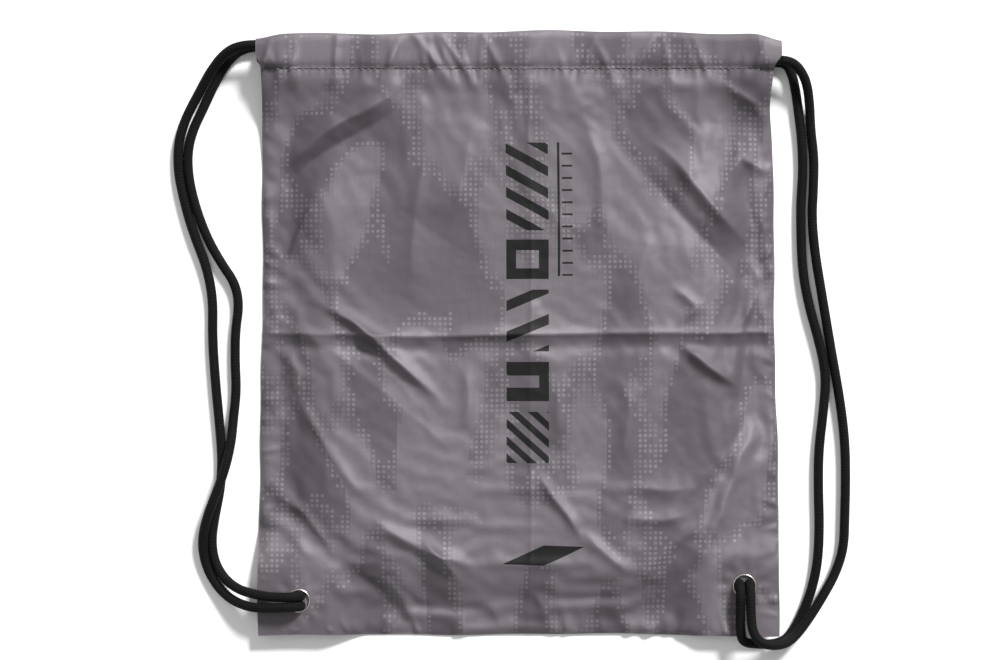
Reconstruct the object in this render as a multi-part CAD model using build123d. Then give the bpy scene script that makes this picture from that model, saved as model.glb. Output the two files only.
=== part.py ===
from build123d import *
import math
import os

# A drawstring shoe bag lying flat on its back, mouth towards +Y, front panel up.
# Units are millimetres. The origin is the middle of the bag, on the surface it lies on.
# Two cloth panels are seamed at the sides and the bottom. Each has a folded hem along the
# mouth, which is a tunnel. Two drawcords run round the mouth in the tunnels, one from each
# side, and their ends are knotted under an eyelet in each bottom corner.

# ---- driving dimensions ----
bag_width = 350.0
bag_height = 404.0
cloth = 0.4
seam_stack = 0.8
seam_width = 8.0
hem_height = 26.0
hem_end_notch = 12.0
loft = 21.0
mouth_gap = 5.0
cord_diameter = 6.4
cord_play = 0.4

# The knots under the eyelets lift the two bottom corners onto flat pads.
pad_height = 9.8
pad_reach = 45.0
pad_ramp = 30.0
front_slope = 40.0
corner_flat = 54.0

eyelet_bore_radius = 6.7
eyelet_wall = 0.6
eyelet_flange_radius = 9.5
eyelet_flange_thickness = 0.5
left_eyelet_place = (-147.0, -178.0)
right_eyelet_place = (151.0, -168.0)
patch_size = 34.0

knot_radius = 9.5
knot_bottom = 0.4
knot_round = 3.8
tail_length = 15.0

left_cord_y = 193.0
right_cord_y = 182.6
cord_peek = 2.5

stitch_length = 2.8
stitch_pitch = 4.0
stitch_width = 0.6
stitch_inset = 1.5

# ---- worked out from them ----
half_width = bag_width / 2
half_height = bag_height / 2
hem_start = half_height - hem_height
cord_radius = cord_diameter / 2
hem_thickness = cord_diameter + 2 * cord_play + 2 * cloth
back_cord_z = hem_thickness / 2
front_hem_z = hem_thickness + mouth_gap
front_cord_z = front_hem_z + hem_thickness / 2
front_rise = cloth + seam_stack
crown_height = loft - cloth
corner_level = pad_height + front_rise
bend_radius = (front_cord_z - back_cord_z) / 2
bend_centre = half_width + cord_peek - cord_radius - bend_radius
washer_top = pad_height
washer_bottom = washer_top - eyelet_flange_thickness
knot_top = washer_bottom - 0.3
below = -5.0


def under_profile(profile, plane, length):
    """The solid under a height profile, from the level `below` up, as long as asked across the plane."""
    face = make_face(plane * Polyline(*profile, close=True))
    return extrude(face, amount=length / 2, both=True)


def under_back():
    """The solid under the back panel: flat, with a ramp up to a pad at each bottom corner."""
    pad_x = half_width - pad_reach
    pad_y = -half_height + pad_reach
    across = under_profile(
        [
            (-half_width, below),
            (-half_width, pad_height),
            (-pad_x, pad_height),
            (-pad_x + pad_ramp, 0),
            (pad_x - pad_ramp, 0),
            (pad_x, pad_height),
            (half_width, pad_height),
            (half_width, below),
        ],
        Plane.XZ,
        bag_height,
    )
    along = under_profile(
        [
            (-half_height, below),
            (-half_height, pad_height),
            (pad_y, pad_height),
            (pad_y + pad_ramp, 0),
            (hem_start, 0),
            (hem_start, below),
        ],
        Plane.YZ,
        bag_width,
    )
    return across & along


def under_crown():
    """The solid under the raised part of the front panel, open towards the mouth."""
    rim = half_width - seam_width
    across = under_profile(
        [
            (-half_width, below),
            (-half_width, front_rise),
            (-rim, front_rise),
            (-rim + front_slope, crown_height),
            (rim - front_slope, crown_height),
            (rim, front_rise),
            (half_width, front_rise),
            (half_width, below),
        ],
        Plane.XZ,
        bag_height,
    )
    foot = -half_height + seam_width
    along = under_profile(
        [
            (-half_height, below),
            (-half_height, front_rise),
            (foot, front_rise),
            (foot + front_slope, crown_height),
            (hem_start, crown_height),
            (hem_start, below),
        ],
        Plane.YZ,
        bag_width,
    )
    crown = across & along
    for side in (-1, 1):
        crown &= corner_limit(side)
    return crown


def corner_limit(side):
    """Keeps the front panel down on the back one round an eyelet: low near the corner, high beyond it."""
    span = 2 * bag_height
    profile = [
        (-span, below),
        (-span, front_rise),
        (corner_flat - front_slope, front_rise),
        (corner_flat, corner_level),
        (corner_flat + front_slope, crown_height),
        (span, crown_height),
        (span, below),
    ]
    limit = under_profile(profile, Plane.XZ, 2 * span)
    turn = 135 if side > 0 else 45
    return Pos(side * half_width, -half_height, 0) * Rot(0, 0, turn) * limit


def sheet_over(solid, lift=0.0, thickness=cloth):
    """The sheet of that thickness whose underside is the solid's top, lifted by `lift`."""
    return (Pos(0, 0, lift + thickness) * solid) - (Pos(0, 0, lift) * solid)


def eyelet_hole(place):
    radius = eyelet_bore_radius + eyelet_wall + 0.1
    return Pos(place[0], place[1], pad_height) * Cylinder(radius, 3 * loft)


def box_between(low, high):
    size = [h - l for l, h in zip(low, high)]
    middle = [(l + h) / 2 for l, h in zip(low, high)]
    return Pos(*middle) * Box(*size)


def panels():
    """The two cloth panels, with a hole in each bottom corner."""
    back_under = under_back()
    front_under = (Pos(0, 0, front_rise) * back_under) + under_crown()
    back = sheet_over(back_under)
    front = sheet_over(front_under)
    for place in (left_eyelet_place, right_eyelet_place):
        back -= eyelet_hole(place)
        front -= eyelet_hole(place)
    return back, front


def zones(sheet, x_lines, y_lines):
    """The sheet as separate zones that meet face to face: its flat middle, its slopes and its corners."""
    x_edges = [-bag_width, *x_lines, bag_width]
    y_edges = [-bag_height, *y_lines, bag_height]
    found = []
    for x_low, x_high in zip(x_edges, x_edges[1:]):
        for y_low, y_high in zip(y_edges, y_edges[1:]):
            zone = sheet & box_between((x_low, y_low, below), (x_high, y_high, 2 * loft))
            found += zone.solids()
    return Compound(found)


def seam_layers():
    """The turned-in seam allowances between the panels, and the doubled patch in each corner."""
    layer = sheet_over(under_back(), lift=cloth, thickness=seam_stack)
    inner = half_width - seam_width
    foot = -half_height + seam_width
    left = layer & box_between((-half_width, -half_height, 0), (-inner, hem_start, loft))
    right = layer & box_between((inner, -half_height, 0), (half_width, hem_start, loft))
    bottom = layer & box_between((-inner, -half_height, 0), (inner, foot, loft))
    patches = []
    for place in (left_eyelet_place, right_eyelet_place):
        side = math.copysign(1, place[0])
        edge = side * inner
        far = side * (inner - patch_size)
        low = (min(edge, far), foot, 0)
        high = (max(edge, far), foot + patch_size, loft)
        patch = layer & box_between(low, high) & under_front_corner()
        patches.append(patch - eyelet_hole(place))
    return left, right, bottom, patches


def under_front_corner():
    """The space under the front panel, which the corner patches stay in."""
    return (Pos(0, 0, front_rise) * under_back()) + under_crown()


def hem(bottom_z, mouth_side):
    """One folded hem: a flat tunnel for the cords, notched at its ends on the mouth's side."""
    top_z = bottom_z + hem_thickness
    outer = box_between(
        (-half_width, hem_start, bottom_z), (half_width, half_height, top_z)
    )
    inner = box_between(
        (-half_width - 1, hem_start + cloth, bottom_z + cloth),
        (half_width + 1, half_height - cloth, top_z - cloth),
    )
    tunnel = outer - inner
    wall_z = (top_z - cloth, top_z) if mouth_side > 0 else (bottom_z, bottom_z + cloth)
    for side in (-1, 1):
        ends = sorted((side * (half_width - hem_end_notch), side * half_width))
        tunnel -= box_between(
            (ends[0], hem_start + cloth, wall_z[0]),
            (ends[1], half_height - cloth, wall_z[1]),
        )
    return tunnel


def hem_stitching(wall_z):
    """The row of stitches that closes a hem, each sewn through the outer wall."""
    count = int((bag_width - 2 * stitch_pitch) / stitch_pitch)
    first = -(count - 1) / 2 * stitch_pitch
    stitch = Box(stitch_length, stitch_width, cloth)
    y = hem_start + stitch_inset
    return Compound(
        [Pos(first + i * stitch_pitch, y, wall_z) * stitch for i in range(count)]
    )


def eyelet(place):
    """The front half of an eyelet: a flange on the cloth and a barrel through it."""
    base = corner_level + cloth
    barrel_height = base - washer_bottom
    outer = eyelet_bore_radius + eyelet_wall
    barrel = Pos(0, 0, washer_bottom + barrel_height / 2) * Cylinder(outer, barrel_height)
    flange = Pos(0, 0, base + eyelet_flange_thickness / 2) * Cylinder(
        eyelet_flange_radius, eyelet_flange_thickness
    )
    rim = flange.edges().filter_by(GeomType.CIRCLE).sort_by(Axis.Z)[-1]
    flange = fillet(rim, eyelet_flange_thickness * 0.8)
    bore = Pos(0, 0, pad_height) * Cylinder(eyelet_bore_radius, loft)
    return Pos(place[0], place[1], 0) * (flange + barrel - bore)


def eyelet_washer(place):
    """The ring that the barrel is set over behind the cloth."""
    ring = Cylinder(eyelet_flange_radius, eyelet_flange_thickness) - Cylinder(
        eyelet_bore_radius + eyelet_wall, loft
    )
    middle = (washer_top + washer_bottom) / 2
    return Pos(place[0], place[1], middle) * ring


def knot(place):
    """The flattened knot under an eyelet, with the cord's two cut ends lying inwards."""
    height = knot_top - knot_bottom
    ball = Cylinder(knot_radius, height)
    ball = fillet(ball.edges().filter_by(GeomType.CIRCLE), knot_round)
    middle = (knot_top + knot_bottom) / 2
    solid = Pos(place[0], place[1], middle) * ball
    inwards = -math.copysign(1, place[0])
    reach = tail_length + knot_radius / 2
    for offset in (-1.1 * cord_radius, 1.1 * cord_radius):
        start = place[0] + inwards * (knot_radius / 2 + reach / 2)
        lie = Pos(start, place[1] + offset, knot_bottom + cord_radius)
        solid += lie * Rot(0, 90, 0) * Cylinder(cord_radius, reach)
    return solid


def cord_run(side, y, z):
    """The straight stretch of a cord inside one hem, from its own side to the far bend."""
    length = half_width + bend_centre
    middle = side * (half_width - length / 2)
    return Pos(middle, y, z) * Rot(0, 90, 0) * Cylinder(cord_radius, length)


def far_bend(side, y):
    """The half turn that takes a cord from the front hem to the back one at the far side."""
    middle_z = (front_cord_z + back_cord_z) / 2
    x = -side * bend_centre
    path = ThreePointArc(
        (x, y, front_cord_z), (x - side * bend_radius, y, middle_z), (x, y, back_cord_z)
    )
    section = Plane(origin=path @ 0, z_dir=path % 0) * Circle(cord_radius)
    return sweep(section, path=path)


def bend_radii(route):
    """For each corner of a route, the largest arc that its two runs allow."""
    points = [Vector(*p) for p in route]
    radii = []
    for before, here, after in zip(points, points[1:], points[2:]):
        turn = math.radians((here - before).get_angle(after - here))
        run = min((here - before).length, (after - here).length)
        radii.append(0.45 * run / math.tan(turn / 2))
    return radii


def strand(name, route):
    """A free stretch of cord: a tube along straight runs joined by tangent arcs."""
    radii = bend_radii(route)
    path = FilletPolyline(*route, radius=radii)
    section = Plane(origin=path @ 0, z_dir=path % 0) * Circle(cord_radius)
    tube = sweep(section, path=path)
    expected = math.pi * cord_radius**2 * path.length
    print(
        name,
        "length",
        round(path.length, 1),
        "volume ratio",
        round(tube.volume / expected, 4),
    )
    print("   radii", [round(r, 1) for r in radii])
    return tube


# ---- routes of the four free strands, from the hem's end to the knot ----
# z is the middle of the cord: 3.3 lies on the surface under the bag.
left_front_route = [
    (-175, 193, 17.0),
    (-184.5, 193, 17.0),
    (-195.8, 188.2, 14.6),
    (-206.2, 176.2, 9.4),
    (-215, 161, 4.8),
    (-223.5, 145.5, 3.3),
    (-228.8, 128, 3.4),
    (-228.6, 109, 3.3),
    (-224.9, 91, 3.4),
    (-218.8, 69, 3.3),
    (-210, 47, 3.4),
    (-205.2, 25, 3.3),
    (-205.6, -3, 3.4),
    (-203.6, -32, 3.3),
    (-200.8, -60, 3.4),
    (-198.9, -84, 3.3),
    (-199.6, -104, 3.4),
    (-202.4, -122, 3.3),
    (-203.8, -139, 3.4),
    (-201, -153, 3.5),
    (-194, -163.5, 6.2),
    (-185.6, -169.6, 11.0),
    (-176.2, -173.2, 15.4),
    (-166.6, -174.7, 17.8),
    (-158.4, -174.9, 19.4),
    (-151.4, -174.7, 19.6),
    (-147, -174.7, 15.2),
    (-147, -174.7, knot_top),
]
left_back_route = [
    (-175, 193, 4.0),
    (-183.5, 193, 4.0),
    (-194.6, 185, 3.3),
    (-203.5, 169, 3.4),
    (-210.6, 153, 3.3),
    (-217.6, 139, 3.4),
    (-221.8, 124, 3.3),
    (-221.4, 107, 3.4),
    (-216.8, 87, 3.3),
    (-209.4, 65, 3.4),
    (-199.5, 47.5, 3.3),
    (-190.4, 34.5, 3.4),
    (-187.6, 20, 3.3),
    (-190.2, 2, 3.4),
    (-190.4, -18, 3.3),
    (-189.4, -38, 3.4),
    (-191.4, -56, 3.8),
    (-192.6, -72, 6.6),
    (-195.8, -88, 10.2),
    (-201.6, -105, 10.6),
    (-208.2, -121, 9.6),
    (-212.4, -138, 6.2),
    (-210.6, -153, 3.8),
    (-204.6, -166, 3.4),
    (-195.8, -175.6, 5.6),
    (-186, -180.4, 10.6),
    (-176.4, -182.2, 15.2),
    (-167, -182.3, 17.6),
    (-158.8, -181.7, 19.3),
    (-151.4, -181.3, 19.6),
    (-147, -181.3, 15.2),
    (-147, -181.3, knot_top),
]
right_front_route = [
    (175, 182.6, 17.0),
    (182.8, 182.6, 17.0),
    (190.8, 177.6, 15.4),
    (195.8, 166.8, 11.6),
    (196.9, 152.5, 6.8),
    (197, 137.5, 3.7),
    (198.8, 119, 3.3),
    (198.2, 99, 3.4),
    (197, 79, 3.3),
    (199, 56, 3.4),
    (202.6, 34, 3.3),
    (206.6, 10, 3.4),
    (211, -16, 3.3),
    (216, -44, 3.4),
    (219.4, -72, 3.3),
    (219.8, -98, 3.4),
    (219.2, -122, 3.3),
    (218.6, -143, 3.4),
    (213, -160, 4.6),
    (204.2, -175, 7.4),
    (195, -189, 9.8),
    (186, -200.2, 12.2),
    (177.4, -205.6, 16.8),
    (168.4, -204.6, 21.4),
    (161.2, -199.4, 22.6),
    (156.6, -192, 21.4),
    (154.6, -183, 20.2),
    (154.3, -174.4, 19.6),
    (154.3, -168, 15.2),
    (154.3, -168, knot_top),
]
right_back_route = [
    (175, 182.6, 4.0),
    (181.4, 182.6, 4.0),
    (187, 176.2, 3.5),
    (189.2, 165, 3.3),
    (189.6, 150, 3.4),
    (190.8, 131, 3.3),
    (191.2, 110, 3.4),
    (189.6, 88, 3.3),
    (189.8, 66, 3.4),
    (190.8, 42, 3.3),
    (195.4, 18, 3.4),
    (202.4, -6, 3.3),
    (206.8, -28, 3.4),
    (204.8, -52, 3.3),
    (201.6, -78, 3.4),
    (201.4, -104, 3.3),
    (202.2, -130, 3.4),
    (201, -154, 3.3),
    (196.6, -173, 3.4),
    (191, -187, 3.3),
    (185.2, -198, 4.2),
    (178.4, -205, 7.2),
    (170.2, -207, 12.8),
    (161.5, -202.8, 15.4),
    (154.4, -198, 14.9),
    (149.8, -191, 15.4),
    (148, -182.4, 17.2),
    (147.7, -174.2, 19.0),
    (147.7, -168, 15.2),
    (147.7, -168, knot_top),
]


def main():
    os.makedirs("parts", exist_ok=True)
    back_panel, front_panel = panels()
    pad_x = half_width - pad_reach - pad_ramp
    pad_y = -half_height + pad_reach + pad_ramp
    back_panel = zones(back_panel, (-pad_x, pad_x), (pad_y,))
    crown_x = half_width - seam_width - front_slope
    crown_y = -half_height + seam_width + front_slope
    front_panel = zones(front_panel, (-crown_x, -pad_x, pad_x, crown_x), (crown_y, pad_y))
    back_stitches = hem_stitching(cloth / 2)
    front_stitches = hem_stitching(front_hem_z + hem_thickness - cloth / 2)
    left_seam, right_seam, bottom_seam, patches = seam_layers()
    nodes = {
        "back_panel": back_panel,
        "front_panel": front_panel,
        "left_side_seam": left_seam,
        "right_side_seam": right_seam,
        "bottom_seam": bottom_seam,
        "back_hem": hem(0, mouth_side=1) - back_stitches,
        "front_hem": hem(front_hem_z, mouth_side=-1) - front_stitches,
        "back_hem_stitching": back_stitches,
        "front_hem_stitching": front_stitches,
        "left_corner_patch": patches[0],
        "right_corner_patch": patches[1],
    }
    for name, place in (("left", left_eyelet_place), ("right", right_eyelet_place)):
        nodes[f"{name}_eyelet"] = eyelet(place)
        nodes[f"{name}_eyelet_washer"] = eyelet_washer(place)
        nodes[f"{name}_cord_knot"] = knot(place)
    for name, side, y in (("left", -1, left_cord_y), ("right", 1, right_cord_y)):
        nodes[f"{name}_cord_front_run"] = cord_run(side, y, front_cord_z)
        nodes[f"{name}_cord_back_run"] = cord_run(side, y, back_cord_z)
        nodes[f"{name}_cord_far_bend"] = far_bend(side, y)
    routes = {
        "left_cord_front_strand": left_front_route,
        "left_cord_back_strand": left_back_route,
        "right_cord_front_strand": right_front_route,
        "right_cord_back_strand": right_back_route,
    }
    for name, route in routes.items():
        nodes[name] = strand(name, route)
    for name, shape in nodes.items():
        export_step(shape, f"parts/{name}.step")


main()
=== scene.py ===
import math

import bmesh
import bpy
import numpy as np
from mathutils import Matrix, Vector, geometry, noise
from mathutils.bvhtree import BVHTree


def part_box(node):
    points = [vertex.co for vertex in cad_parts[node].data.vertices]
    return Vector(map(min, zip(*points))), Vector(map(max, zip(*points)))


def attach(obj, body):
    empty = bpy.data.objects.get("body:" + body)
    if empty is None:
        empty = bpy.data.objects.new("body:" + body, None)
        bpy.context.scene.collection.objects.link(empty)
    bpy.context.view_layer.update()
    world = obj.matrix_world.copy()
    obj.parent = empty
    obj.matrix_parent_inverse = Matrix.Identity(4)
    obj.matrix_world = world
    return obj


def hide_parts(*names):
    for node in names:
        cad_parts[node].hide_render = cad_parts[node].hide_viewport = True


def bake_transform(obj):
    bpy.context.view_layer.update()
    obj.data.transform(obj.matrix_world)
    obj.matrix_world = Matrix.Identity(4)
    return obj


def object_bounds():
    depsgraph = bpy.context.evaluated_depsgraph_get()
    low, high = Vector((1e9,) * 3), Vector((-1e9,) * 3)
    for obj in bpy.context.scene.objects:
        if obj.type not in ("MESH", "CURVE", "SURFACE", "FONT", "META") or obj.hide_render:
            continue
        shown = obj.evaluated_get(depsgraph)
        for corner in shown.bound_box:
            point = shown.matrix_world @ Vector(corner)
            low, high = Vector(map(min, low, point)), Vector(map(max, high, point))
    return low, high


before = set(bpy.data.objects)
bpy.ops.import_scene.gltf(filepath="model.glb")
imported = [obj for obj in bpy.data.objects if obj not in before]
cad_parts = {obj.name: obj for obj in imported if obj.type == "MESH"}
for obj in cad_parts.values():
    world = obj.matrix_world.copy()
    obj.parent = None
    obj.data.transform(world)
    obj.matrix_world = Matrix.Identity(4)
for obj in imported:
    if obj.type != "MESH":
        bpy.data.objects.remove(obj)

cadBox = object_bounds()
scene = bpy.context.scene
mm = 0.001


# places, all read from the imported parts
frontLow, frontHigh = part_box("front_panel")
hemLow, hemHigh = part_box("front_hem")
halfWidth = frontHigh[0]
footY = frontLow[1]
stitchY = hemLow[1] + 0.6 * mm
mouthY = hemHigh[1]
floorZ = cadBox[0][2]
creaseX = 7 * mm  # the bag is split along its long packing crease into two halves


def boxMiddle(node):
    low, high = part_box(node)
    return (Vector(low) + Vector(high)) / 2


eyeletPlace = {side: boxMiddle(f"{side}_eyelet") for side in ("left", "right")}


# shader maths
class Wire:  # one output socket; sums and products of wires add their own Math nodes
    def __init__(self, finish, socket):
        self.finish = finish
        self.socket = socket

    def maths(self, operation, *others):
        return self.finish.maths(operation, *others)

    def __add__(self, other):
        return self.maths("ADD", self, other)

    __radd__ = __add__

    def __sub__(self, other):
        return self.maths("SUBTRACT", self, other)

    def __rsub__(self, other):
        return self.maths("SUBTRACT", other, self)

    def __mul__(self, other):
        return self.maths("MULTIPLY", self, other)

    __rmul__ = __mul__

    def __truediv__(self, other):
        return self.maths("DIVIDE", self, other)

    def __gt__(self, other):
        return self.maths("GREATER_THAN", self, other)

    def __lt__(self, other):
        return self.maths("LESS_THAN", self, other)

    def wave(self, length, phase=0.0):  # from -1 to 1, repeating over that length
        return self.maths("SINE", self * (2 * math.pi / length) + phase)

    def within(self, low, high):  # 1 between the two values
        return (self > low) * (self < high)

    def part(self):
        return self.maths("FRACT", self)

    def size(self):
        return self.maths("ABSOLUTE", self)


class Finish:  # a material, with the one method that adds its nodes
    def __init__(self, name):
        self.material = bpy.data.materials.new(name)
        self.material.use_nodes = True
        self.tree = self.material.node_tree
        self.shader = self.tree.nodes["Principled BSDF"]

    def node(self, kind, settings=None, sockets=None, output=0):
        made = self.tree.nodes.new(kind)
        for key, value in (settings or {}).items():
            if key == "stops":
                ramp = made.color_ramp
                while len(ramp.elements) < len(value):
                    ramp.elements.new(1)
                for element, (place, colour) in zip(ramp.elements, value):
                    element.position = place
                    element.color = (*colour, 1)
            else:
                setattr(made, key, value)
        for key, value in (sockets or {}).items():
            self.give(made.inputs[key], value)
        return Wire(self, made.outputs[output])

    def give(self, socket, value):
        if isinstance(value, Wire):
            self.tree.links.new(value.socket, socket)
        else:
            socket.default_value = value

    def maths(self, operation, *values):
        return self.node("ShaderNodeMath", {"operation": operation}, dict(enumerate(values)))

    def place(self, attribute=None):  # object coordinates, or the piece's own attribute
        if attribute is None:
            return self.node("ShaderNodeTexCoord", output="Object")
        return self.node("ShaderNodeAttribute", {"attribute_name": attribute}, output="Vector")

    def split(self, vector):
        made = self.node("ShaderNodeSeparateXYZ", sockets={0: vector})
        return [Wire(self, made.socket.node.outputs[i]) for i in range(3)]

    def noise(self, vector, scale, detail=2.0, roughness=0.5, distortion=0.0):
        return self.node(
            "ShaderNodeTexNoise",
            {"noise_dimensions": "3D"},
            {"Vector": vector, "Scale": scale, "Detail": detail, "Roughness": roughness,
             "Distortion": distortion},
        )

    def vectors(self, operation, *values, **named):
        return self.node("ShaderNodeVectorMath", {"operation": operation}, dict(enumerate(values)) | named)

    def mix(self, factor, first, second):  # colours
        return self.node(
            "ShaderNodeMix", {"data_type": "RGBA"}, {0: factor, 6: colour(first), 7: colour(second)}, 2)

    def bump(self, height, distance, strength=1.0, below=None):
        sockets = {"Height": height, "Distance": distance, "Strength": strength}
        if below is not None:
            sockets["Normal"] = below
        return self.node("ShaderNodeBump", sockets=sockets)

    def set(self, **values):
        names = {"colour": "Base Color", "normal": "Normal", "roughness": "Roughness",
                 "metallic": "Metallic", "specular": "Specular IOR Level",
                 "sheen": "Sheen Weight", "sheenRoughness": "Sheen Roughness"}
        for key, value in values.items():
            self.give(self.shader.inputs[names[key]], colour(value) if key == "colour" else value)
        return self.material


def colour(value):
    return value if isinstance(value, Wire) else (*value, 1)


# the finishes
clothLook = {
    "lightTone": (0.132, 0.118, 0.133),
    "darkTone": (0.091, 0.080, 0.092),
    "dotTone": (0.150, 0.136, 0.151),
    "printTone": (0.002, 0.002, 0.002),
    "cell": 3.4 * mm,
    "patchScale": 15.0,
    "thread": 0.62 * mm,
}


def clothPattern(cloth, flat):  # tone on tone: 0 light, 1 dark, and the small dots between
    cell = clothLook["cell"]
    x, y, _ = cloth.split(flat)
    snapped = cloth.vectors("SNAP", flat, (cell, cell, 1.0))
    stretched = cloth.vectors("MULTIPLY", snapped, (1.6, 0.75, 0.0))
    patches = cloth.noise(stretched, clothLook["patchScale"], detail=1.6, roughness=0.42, distortion=0.5)
    gaps = cloth.noise(snapped, 190.0, detail=0.0)
    dark = cloth.maths("MINIMUM", cloth.maths("MAXIMUM", (patches - 0.462) * 16, 0.0), 1.0)
    band = patches.within(0.474, 0.552) * (gaps > 0.38)
    acrossCell = ((x / cell).part() - 0.5).size()
    alongCell = ((y / cell).part() - 0.5).size()
    corner = cloth.maths("POWER", acrossCell / 0.29, 4.0) + cloth.maths("POWER", alongCell / 0.29, 4.0)
    faded = cloth.noise(snapped, 60.0, detail=0.0)
    dot = cloth.maths("MINIMUM", cloth.maths("MAXIMUM", 1.7 - corner, 0.0), 1.0)
    return dark, band * (0.1 + 1.5 * faded) * dot


def printedMarks(cloth, flat):  # a column of plain bars and blocks, a ruled line and a slim lozenge
    x, y, side = cloth.split(flat)

    def box(left, right, low, high):
        return x.within(left * mm, right * mm) * y.within(low * mm, high * mm)

    def bars(left, right, low, high, pitch, share, lean):
        slanted = ((y + x * lean) / (pitch * mm)).part()
        return box(left, right, low, high) * (slanted < share)

    marks = bars(-9, 19, 70, 128, 14.5, 0.46, 0.55)  # slanted bars
    marks = marks + box(-9, 19, 38, 64) * (1 - box(-2.5, 12.5, 45, 57))  # a square frame
    marks = marks + bars(-9, 19, -10, 31, 20.5, 0.34, -0.42)
    marks = marks + box(-9, 19, -43, -17) * (1 - box(-9, 12.5, -34, -26))
    marks = marks + bars(-9, 19, -84, -50, 11.4, 0.5, 0.9)
    rule = x.within(25 * mm, 26.6 * mm) * y.within(40 * mm, 128 * mm)
    ticks = x.within(28 * mm, 35 * mm) * y.within(40 * mm, 128 * mm) * ((y / (8 * mm)).part() < 0.16)
    across = x - 16 * mm
    lozenge = (across.size() / (27 * mm) + ((y + 146 * mm) - across * 0.22).size() / (7 * mm)) < 1
    return cloth.maths("MINIMUM", marks + rule + ticks + lozenge, 1.0) * (side > 0.5)


def clothFinish(name, printed):
    cloth = Finish(name)
    flat = cloth.place("flatPlace")
    x, y, _ = cloth.split(flat)
    dark, dots = clothPattern(cloth, flat)
    tone = cloth.mix(dark, clothLook["lightTone"], clothLook["darkTone"])
    tone = cloth.mix(dots, tone, clothLook["dotTone"])
    streaks = cloth.noise(cloth.vectors("MULTIPLY", flat, (1600.0, 45.0, 1.0)), 1.0, detail=2.0)
    weft = cloth.noise(cloth.vectors("MULTIPLY", flat, (45.0, 1500.0, 1.0)), 1.0, detail=2.0)
    stain = cloth.noise(flat, 22.0, detail=3.0)
    shade = 0.80 + 0.18 * streaks + 0.12 * weft + 0.14 * stain
    grey = cloth.node("ShaderNodeCombineColor", sockets={0: shade, 1: shade, 2: shade})
    multiply = {"data_type": "RGBA", "blend_type": "MULTIPLY"}
    tone = cloth.node("ShaderNodeMix", multiply, {0: 1.0, 6: tone, 7: grey}, 2)
    rough = 0.35 + 0.16 * stain + 0.05 * dark
    shine = 0.15 + 0.08 * streaks
    if printed:
        marks = printedMarks(cloth, flat)
        tone = cloth.mix(marks * 0.97, tone, clothLook["printTone"])
        rough = rough + marks * 0.12
        shine = shine * (1 - marks)
    thread = clothLook["thread"]
    weave = x.wave(thread) * y.wave(thread)
    crinkle = cloth.noise(flat, 210.0, detail=4.0, roughness=0.62, distortion=0.6)
    normal = cloth.bump(crinkle, 0.26 * mm, 0.35)
    normal = cloth.bump(weave + streaks * 0.6, 0.07 * mm, 0.5, below=normal)
    return cloth.set(colour=tone, roughness=rough, normal=normal, metallic=shine, sheen=0.02,
                     sheenRoughness=0.4, specular=0.2)


braidLook = {
    "pitch": 4.2 * mm,
    "strands": 8,
    "darkTone": (0.0010, 0.0010, 0.0011),
    "lightTone": (0.0042, 0.0042, 0.0045),
}


def cordFinish(name):
    cord = Finish(name)
    along, around, _ = cord.split(cord.node("ShaderNodeUVMap", {"uv_map": "cordPlace"}))
    lengthways = along * (2 * math.pi / braidLook["pitch"])
    sideways = around * (2 * math.pi * braidLook["strands"])
    braid = cord.maths("SINE", lengthways + sideways) * cord.maths("SINE", lengthways - sideways)
    place = cord.place()
    fuzz = cord.noise(place, 2600.0, detail=2.0)
    wear = cord.noise(place, 38.0, detail=2.0)
    tone = cord.mix(braid * 0.35 + fuzz * 0.5 + wear * 0.15, braidLook["darkTone"], braidLook["lightTone"])
    normal = cord.bump(braid * 0.5 + fuzz * 0.35, 0.32 * mm, 0.8)
    return cord.set(colour=tone, roughness=0.66 + 0.2 * wear, normal=normal, sheen=0.01, sheenRoughness=0.5,
                    specular=0.13)


def metalFinish(name):
    metal = Finish(name)
    place = metal.place()
    haze = metal.noise(place, 320.0, detail=3.0)
    scratches = metal.noise(metal.vectors("MULTIPLY", place, (1.0, 9.0, 1.0)), 900.0, detail=2.0)
    tone = metal.mix(haze, (0.42, 0.41, 0.40), (0.60, 0.59, 0.57))
    normal = metal.bump(scratches, 0.02 * mm, 0.5)
    return metal.set(colour=tone, metallic=1.0, roughness=0.2 + 0.16 * haze, normal=normal)


def threadFinish(name):
    thread = Finish(name)
    place = thread.place()
    twist = thread.noise(place, 3000.0, detail=2.0)
    tone = thread.mix(twist, (0.135, 0.122, 0.135), (0.200, 0.184, 0.200))
    return thread.set(colour=tone, roughness=0.55 + 0.2 * twist, normal=thread.bump(twist, 0.08 * mm, 0.6))


def floorFinish(name):
    card = Finish(name)
    grain = card.noise(card.place(), 60.0, detail=3.0)
    tone = card.mix(grain, (0.86, 0.86, 0.86), (0.89, 0.89, 0.89))
    return card.set(colour=tone, roughness=0.85 + 0.05 * grain, specular=0.2)


printedCloth = clothFinish("printedCloth", True)
plainCloth = clothFinish("plainCloth", False)
blackCord = cordFinish("blackBraid")
nickel = metalFinish("nickel")
sewingThread = threadFinish("sewingThread")
print("finishes made")


# the cords
cordLook = {
    "radius": 3.2 * mm,
    "sides": 18,
    "slices": 9,  # points read from the spline for each stretch of its route
}


def metres(points):
    return [tuple(value / 1000 for value in point) for point in points]


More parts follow.
